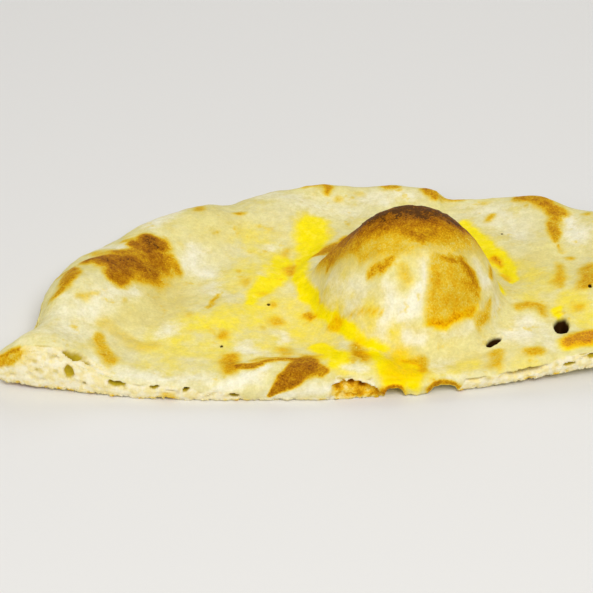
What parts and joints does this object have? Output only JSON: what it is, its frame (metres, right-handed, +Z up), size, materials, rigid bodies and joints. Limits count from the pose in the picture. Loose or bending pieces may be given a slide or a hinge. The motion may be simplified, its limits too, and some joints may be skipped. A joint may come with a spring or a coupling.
{
  "type": "half of a round naan bread",
  "caption": "Half of a round naan flatbread with one large browned blister, cut across the middle to show its crumb, lying flat on its underside.",
  "frame": {"origin": "centre of the box round the bread, on the surface that it lies on", "axes": "+X along the cut towards the bread's right end, +Y from the cut towards the round baked rim, +Z up through the crust"},
  "size_m": [0.257, 0.132, 0.0396],
  "materials": {
    "baked_dough": "soft floury crust with toasted brown patches, melted butter in the hollows and an open pale crumb on the cut"
  },
  "bodies": {
    "root": {"naan_bread": "baked_dough"}
  },
  "joints": []
}
